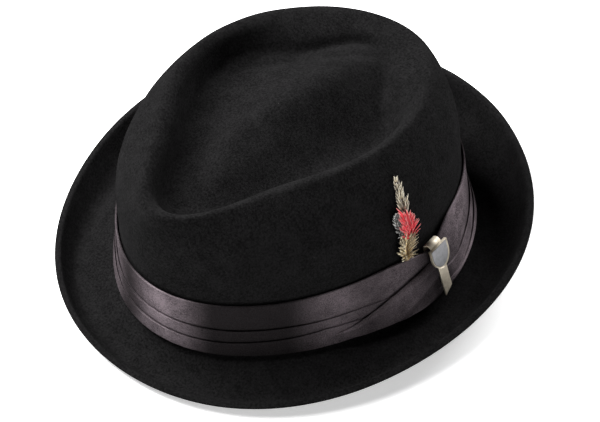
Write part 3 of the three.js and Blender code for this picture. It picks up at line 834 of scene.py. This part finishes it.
def ply_rows(table, stations, across, rest, depth, creases=(), end_slant=0.0):
    """Rows of a ply of ribbon that lies on the band, from its table of edges. Its long edges are soft folds
    and its face has creases that run with it."""
    rows = []
    first = table[0][0]
    last = table[-1][0]
    for number in range(stations):
        share = number / (stations - 1)
        degrees = lerp(first, last, share)
        low, high, full = ramp(table, degrees)
        front = []
        back = []
        for place in range(across):
            v = place / (across - 1)
            edge = 1 - (2 * v - 1) ** 10
            relief = 0
            for crease in creases:
                weight = smooth((share - crease["begin"]) / 0.35)
                gap = (v - lerp(crease["start"], crease["end"], share)) / crease["wide"]
                relief += weight * crease["deep"] * math.exp(-gap * gap)
            thick = full * depth * (0.35 + 0.65 * edge + relief)
            leaning = degrees + end_slant * (1 - v) * smooth((share - 0.8) / 0.2)
            front.append(band_place(leaning, lerp(low, high, v), rest + thick))
            if 0 < place < across - 1 and place % 3 == 0:
                back.append(band_place(leaning, lerp(low, high, v), rest))
        ends = [
            band_place(degrees + end_slant * smooth((share - 0.8) / 0.2), low, rest),
            band_place(degrees, high, rest),
        ]
        rows.append([point + HEAD_MIDDLE for point in [*front, ends[1], *reversed(back), ends[0]]])
    return rows


def make_sash(finish):
    bm = bmesh.new()
    creases = [
        dict(start=0.5, end=0.66, wide=0.07, deep=-0.4, begin=0.5),
        dict(start=0.3, end=0.3, wide=0.1, deep=0.25, begin=0.35),
        dict(start=0.75, end=0.85, wide=0.08, deep=0.2, begin=0.4),
    ]
    loft(bm, ply_rows(SASH_FRONT, 70, 22, OVER_BAND + 0.2 * MM, SASH_DEPTH, creases), caps=True)
    loft(bm, ply_rows(SASH_BACK, 48, 14, OVER_BAND, SASH_DEPTH), caps=True)
    unwrap(bm, BAND_HEIGHT, 70 * MM)
    return finish_piece(bm, "ribbon_sash", finish, "band_sash", levels=1)


def make_tail(finish):
    bm = bmesh.new()
    loft(bm, ply_rows(TAIL, 36, 12, OVER_BAND, SASH_DEPTH, end_slant=1.0), caps=True)
    unwrap(bm, 14 * MM, 25 * MM)
    return finish_piece(bm, "ribbon_end", finish, "band_tail", levels=1)


# The clip


def clip_frame():
    """The clip's own frame: X along the band, Y up, Z outwards from the sash that it grips."""
    half_turn = math.degrees(HOOK_WIDTH / 2 / HALF_WIDTH)
    high = band_place(CLIP_ANGLE, 1, CLIP_REST)
    low = band_place(CLIP_ANGLE, max(1 - STRAP_LENGTH / BAND_HEIGHT, 0), CLIP_REST)
    up = (high - low).normalized()
    right = band_place(CLIP_ANGLE + half_turn, 1, CLIP_REST)
    left = band_place(CLIP_ANGLE - half_turn, 1, CLIP_REST)
    across = right - left
    out = across.cross(up).normalized()
    across = up.cross(out).normalized()
    place = high + up * HOOK_ROOM + HEAD_MIDDLE
    return Matrix.Translation(place) @ Matrix((across, up, out)).transposed().to_4x4()


def round_over(bm, edges, width):
    bmesh.ops.bevel(
        bm, geom=edges, offset=width, segments=3, profile=0.5,
        affect="EDGES", material=-1, clamp_overlap=True,
    )


def add_plate(bm, outline, low, high, bevel):
    """A flat plate from an outline, with its rim rounded over."""
    verts = [bm.verts.new((x, y, low)) for x, y in outline]
    face = bm.faces.new(verts)
    made = bmesh.ops.extrude_face_region(bm, geom=[face])["geom"]
    top = [item for item in made if isinstance(item, bmesh.types.BMVert)]
    bmesh.ops.translate(bm, verts=top, vec=(0, 0, high - low))
    near = {edge for vert in top for edge in vert.link_edges}
    round_over(bm, [edge for edge in near if set(edge.verts) <= set(top)], bevel)


def shield_outline(inset, steps=14):
    half = SHIELD_WIDTH / 2 - inset
    top = -SHIELD_DROP - inset
    bottom = -SHIELD_DROP - SHIELD_HEIGHT + inset * 1.3
    reach = bottom - top
    handles = [
        (half, top + reach * 0.35),
        (half, top + reach * 0.75),
        (half * 0.5, top + reach * 0.94),
        (0, bottom),
    ]
    right = []
    for step in range(steps + 1):
        t = step / steps
        weights = ((1 - t) ** 3, 3 * t * (1 - t) ** 2, 3 * t * t * (1 - t), t**3)
        right.append(tuple(sum(w * h[axis] for w, h in zip(weights, handles)) for axis in (0, 1)))
    left = [(-x, y) for x, y in reversed(right[:-1])]
    return [(-half, top), *reversed(left), *reversed(right), (half, top)]


def make_clip(finish):
    bm = bmesh.new()
    inner = (CLIP_REST + LEG_CLEARANCE) / 2
    middle = inner + CLIP_METAL / 2
    line = [(middle, -SHIELD_HEIGHT / 2)]
    for step in range(HOOK_STEPS + 1):
        angle = math.pi * step / HOOK_STEPS
        line.append((middle * math.cos(angle), middle * math.sin(angle)))
    line.append((-middle, -HOOK_LEG))
    verts = [bm.verts.new((-HOOK_WIDTH / 2, y, z - inner)) for z, y in line]
    edges = [bm.edges.new(pair) for pair in zip(verts, verts[1:])]
    made = bmesh.ops.extrude_edge_only(bm, edges=edges)["geom"]
    moved = [item for item in made if isinstance(item, bmesh.types.BMVert)]
    bmesh.ops.translate(bm, verts=moved, vec=(HOOK_WIDTH, 0, 0))
    bmesh.ops.recalc_face_normals(bm, faces=bm.faces)
    bmesh.ops.solidify(bm, geom=bm.faces[:], thickness=CLIP_METAL)
    strap = [
        (-STRAP_WIDTH / 2, -SHIELD_DROP - SHIELD_HEIGHT / 2),
        (-STRAP_WIDTH / 2, -STRAP_LENGTH),
        (STRAP_WIDTH / 2, STRAP_SLANT - STRAP_LENGTH),
        (STRAP_WIDTH / 2, -SHIELD_DROP - SHIELD_HEIGHT / 2),
    ]
    add_plate(bm, strap, 0, CLIP_METAL, 0.2 * MM)
    outline = shield_outline(0)
    verts = [bm.verts.new((x, y, CLIP_METAL / 2)) for x, y in outline]
    face = bm.faces.new(verts)
    made = bmesh.ops.extrude_face_region(bm, geom=[face])["geom"]
    top = [item for item in made if isinstance(item, bmesh.types.BMFace)]
    bmesh.ops.translate(bm, verts=list(top[0].verts), vec=(0, 0, SHIELD_DEPTH - CLIP_METAL / 2))
    rim_edges = list(top[0].edges)
    bmesh.ops.inset_region(bm, faces=top, thickness=SHIELD_RIM, depth=0)
    inner_edges = list(top[0].edges)
    bmesh.ops.translate(bm, verts=list(top[0].verts), vec=(0, 0, -SHIELD_RECESS))
    round_over(bm, rim_edges + inner_edges, 0.18 * MM)
    bmesh.ops.transform(bm, matrix=clip_frame(), verts=bm.verts)
    return finish_piece(bm, "hook_clip", finish, "clip")


def make_inlay(finish):
    bm = bmesh.new()
    outline = shield_outline(SHIELD_RIM + 0.15 * MM)
    add_plate(bm, outline, SHIELD_DEPTH - 0.85 * MM, SHIELD_DEPTH - 0.35 * MM, 0.12 * MM)
    bmesh.ops.transform(bm, matrix=clip_frame(), verts=bm.verts)
    return finish_piece(bm, "clip_plate", finish, "clip_inlay")


# The feathers


def spray_place(across, height, off):
    """A place of the spray: across the wall, up from its foot at the band's top edge, and off the felt."""
    theta = math.radians(SPRAY_ANGLE) + across / HALF_LENGTH
    return wall_place(theta, band_top(SPRAY_ANGLE) + CLEARANCE + height, off) + HEAD_MIDDLE


def add_barb(bm, root, heading, length, width, lift, off, tone, curl):
    """One barb: a thin pointed leaf that leaves the quill at a heading, bends by its curl and lifts at its
    tip."""
    steps = 5
    rows = []
    across, height = root
    angle = heading
    for step in range(steps + 1):
        share = step / steps
        half = width / 2 * math.sin(math.pi * (0.15 + 0.83 * share)) ** 0.8 * (1 - 0.3 * share)
        raised = off + lift * share ** 1.5
        side = Vector((math.cos(angle), -math.sin(angle))) * half
        rows.append(
            [
                spray_place(across - side.x, height - side.y, raised),
                spray_place(across, height, raised + 0.3 * width * (1 - share)),
                spray_place(across + side.x, height + side.y, raised),
            ]
        )
        across += math.sin(angle) * length / steps
        height += math.cos(angle) * length / steps
        angle += curl / steps
    made = loft(bm, rows, closed=False)
    shade(bm, made, steps, tone)
    place = bm.verts.layers.int["place"]
    rim = bm.verts.layers.float["rim"]
    for vert in made:
        vert[rim] = abs(vert[place] - 1)


def shade(bm, verts, steps, tone):
    """Notes on each vertex how far along its barb it is, and the barb's own tone."""
    station = bm.verts.layers.int["station"]
    along = bm.verts.layers.float["along"]
    tones = bm.verts.layers.float["tone"]
    for vert in verts:
        vert[along] = vert[station] / steps
        vert[tones] = tone


def add_quill(bm, line, radius):
    rows = []
    for number, (across, height, off) in enumerate(line):
        size = radius * (1 - 0.8 * number / (len(line) - 1))
        row = []
        for side in range(6):
            angle = side * math.tau / 6
            row.append(spray_place(across + math.cos(angle) * size, height, off + math.sin(angle) * size))
        rows.append(row)
    shade(bm, loft(bm, rows, caps=True), 4 * len(line), 0.3)


def quill_place(quill, share):
    """A place along a quill's bends, and its heading there."""
    at = share * (len(quill) - 1)
    index = min(int(at), len(quill) - 2)
    low = Vector(quill[index])
    high = Vector(quill[index + 1])
    place = low.lerp(high, at - index) * MM
    return (place.x, place.y), math.atan2(high.x - low.x, high.y - low.y)


def make_feather(row, finish):
    """A feather from its foot to its tip, with rows of barbs on both sides of its quill in layers that
    overlap."""
    draw = random.Random(row["name"])
    bm = bmesh.new()
    bm.verts.layers.float.new("along")
    bm.verts.layers.float.new("tone")
    bm.verts.layers.float.new("rim")
    for key in ("place", "station"):
        bm.verts.layers.int.new(key)
    off = row["off"] * MM
    quill = [quill_place(row["quill"], step / 10)[0] for step in range(11)]
    add_quill(bm, [(across, height, off) for across, height in quill], 0.35 * MM)
    for layer in range(row["layers"]):
        for number in range(row["rows"]):
            share = (number + 0.5 * (layer % 2)) / row["rows"]
            root, lean = quill_place(row["quill"], share)
            fullness = row["foot"] + (1 - row["foot"]) * smooth(share / 0.35)
            fullness *= 1 - (1 - row["tip"]) * smooth((share - 0.5) / 0.5)
            for side, spread, length, lift in row["sides"]:
                fan = math.radians(spread) * lerp(1, 0.45, share) * draw.uniform(0.6, 1.15)
                add_barb(
                    bm,
                    root,
                    lean + side * fan,
                    length * MM * fullness * draw.uniform(0.8, 1.12),
                    row["width"] * MM * draw.uniform(0.75, 1.2),
                    lift * MM * draw.uniform(0.5, 1.2),
                    off + (layer * 0.4 + draw.uniform(0, 0.3)) * MM,
                    draw.random(),
                    side * fan * row["curl"] * draw.uniform(0.5, 1.5),
                )
    bmesh.ops.solidify(bm, geom=bm.faces[:], thickness=0.12 * MM)
    along = bm.verts.layers.float["along"]
    tone = bm.verts.layers.float["tone"]
    rim = bm.verts.layers.float["rim"]
    barb = bm.loops.layers.uv.new("barb")
    edge = bm.loops.layers.uv.new("edge")
    for face in bm.faces:
        for corner in face.loops:
            corner[barb].uv = (corner.vert[along], corner.vert[tone])
            corner[edge].uv = (corner.vert[rim], 0)
    node = f"feather_{row['name']}"
    return finish_piece(bm, f"{row['name']}_feather", finish, node)


def make_spray():
    for row in FEATHERS:
        make_feather(row, feather_finish(row))


# The studio


def make_camera():
    """The photograph's view: the camera turned round the hat and raised, and rolled a little."""
    azimuth = math.radians(39.87)
    elevation = math.radians(45.40)
    roll = math.radians(-0.77)
    distance = 1284.47 * MM
    focal_pixels = 2437.39
    target = Vector((13.92, -12.875, 35.52)) * MM
    back = Vector(
        (
            math.sin(azimuth) * math.cos(elevation),
            -math.cos(azimuth) * math.cos(elevation),
            math.sin(elevation),
        )
    )
    right = Vector((math.cos(azimuth), math.sin(azimuth), 0))
    up = back.cross(right)
    turned_right = right * math.cos(roll) + up * math.sin(roll)
    turned_up = up * math.cos(roll) - right * math.sin(roll)
    data = bpy.data.cameras.new("camera")
    data.sensor_width = 36
    data.lens = focal_pixels * data.sensor_width / PHOTO_WIDTH
    camera = bpy.data.objects.new("camera", data)
    rotation = Matrix((turned_right, turned_up, back)).transposed().to_4x4()
    camera.matrix_world = Matrix.Translation(target + back * distance) @ rotation
    bpy.context.scene.collection.objects.link(camera)
    bpy.context.scene.camera = camera


def make_light(name, place, size, power):
    data = bpy.data.lights.new(name, "AREA")
    data.shape = "RECTANGLE"
    data.size = size[0]
    data.size_y = size[1]
    data.energy = power
    light = bpy.data.objects.new(name, data)
    light.location = place
    light.rotation_mode = "QUATERNION"
    light.rotation_quaternion = (LIGHT_AIM - Vector(place)).to_track_quat("-Z", "Y")
    bpy.context.scene.collection.objects.link(light)


def make_studio():
    bm = bmesh.new()
    bmesh.ops.create_grid(bm, x_segments=1, y_segments=1, size=3)
    mesh = bpy.data.meshes.new("floor")
    bm.to_mesh(mesh)
    bm.free()
    floor = bpy.data.objects.new("floor", mesh)
    mesh.materials.append(floor_finish())
    bpy.context.scene.collection.objects.link(floor)
    world = bpy.data.worlds.new("studio")
    world.use_nodes = True
    world.node_tree.nodes["Background"].inputs["Color"].default_value = (1, 1, 1, 1)
    world.node_tree.nodes["Background"].inputs["Strength"].default_value = 0.08
    bpy.context.scene.world = world
    for light in LIGHTS:
        make_light(*light)
    bpy.context.scene.view_settings.view_transform = "Standard"


make_camera()
make_studio()
satin_cloth = satin_finish()
felt_shell = make_felt(felt_finish())
band = make_band(satin_cloth)
sash = make_sash(satin_cloth)
tail = make_tail(satin_cloth)
make_clip(metal_finish("clip_metal", (0.7, 0.63, 0.51), (0.5, 0.44, 0.35), 0.55))
make_inlay(metal_finish("inlay_metal", (0.28, 0.28, 0.295), (0.2, 0.2, 0.21), 0.5, 0.2))
make_spray()
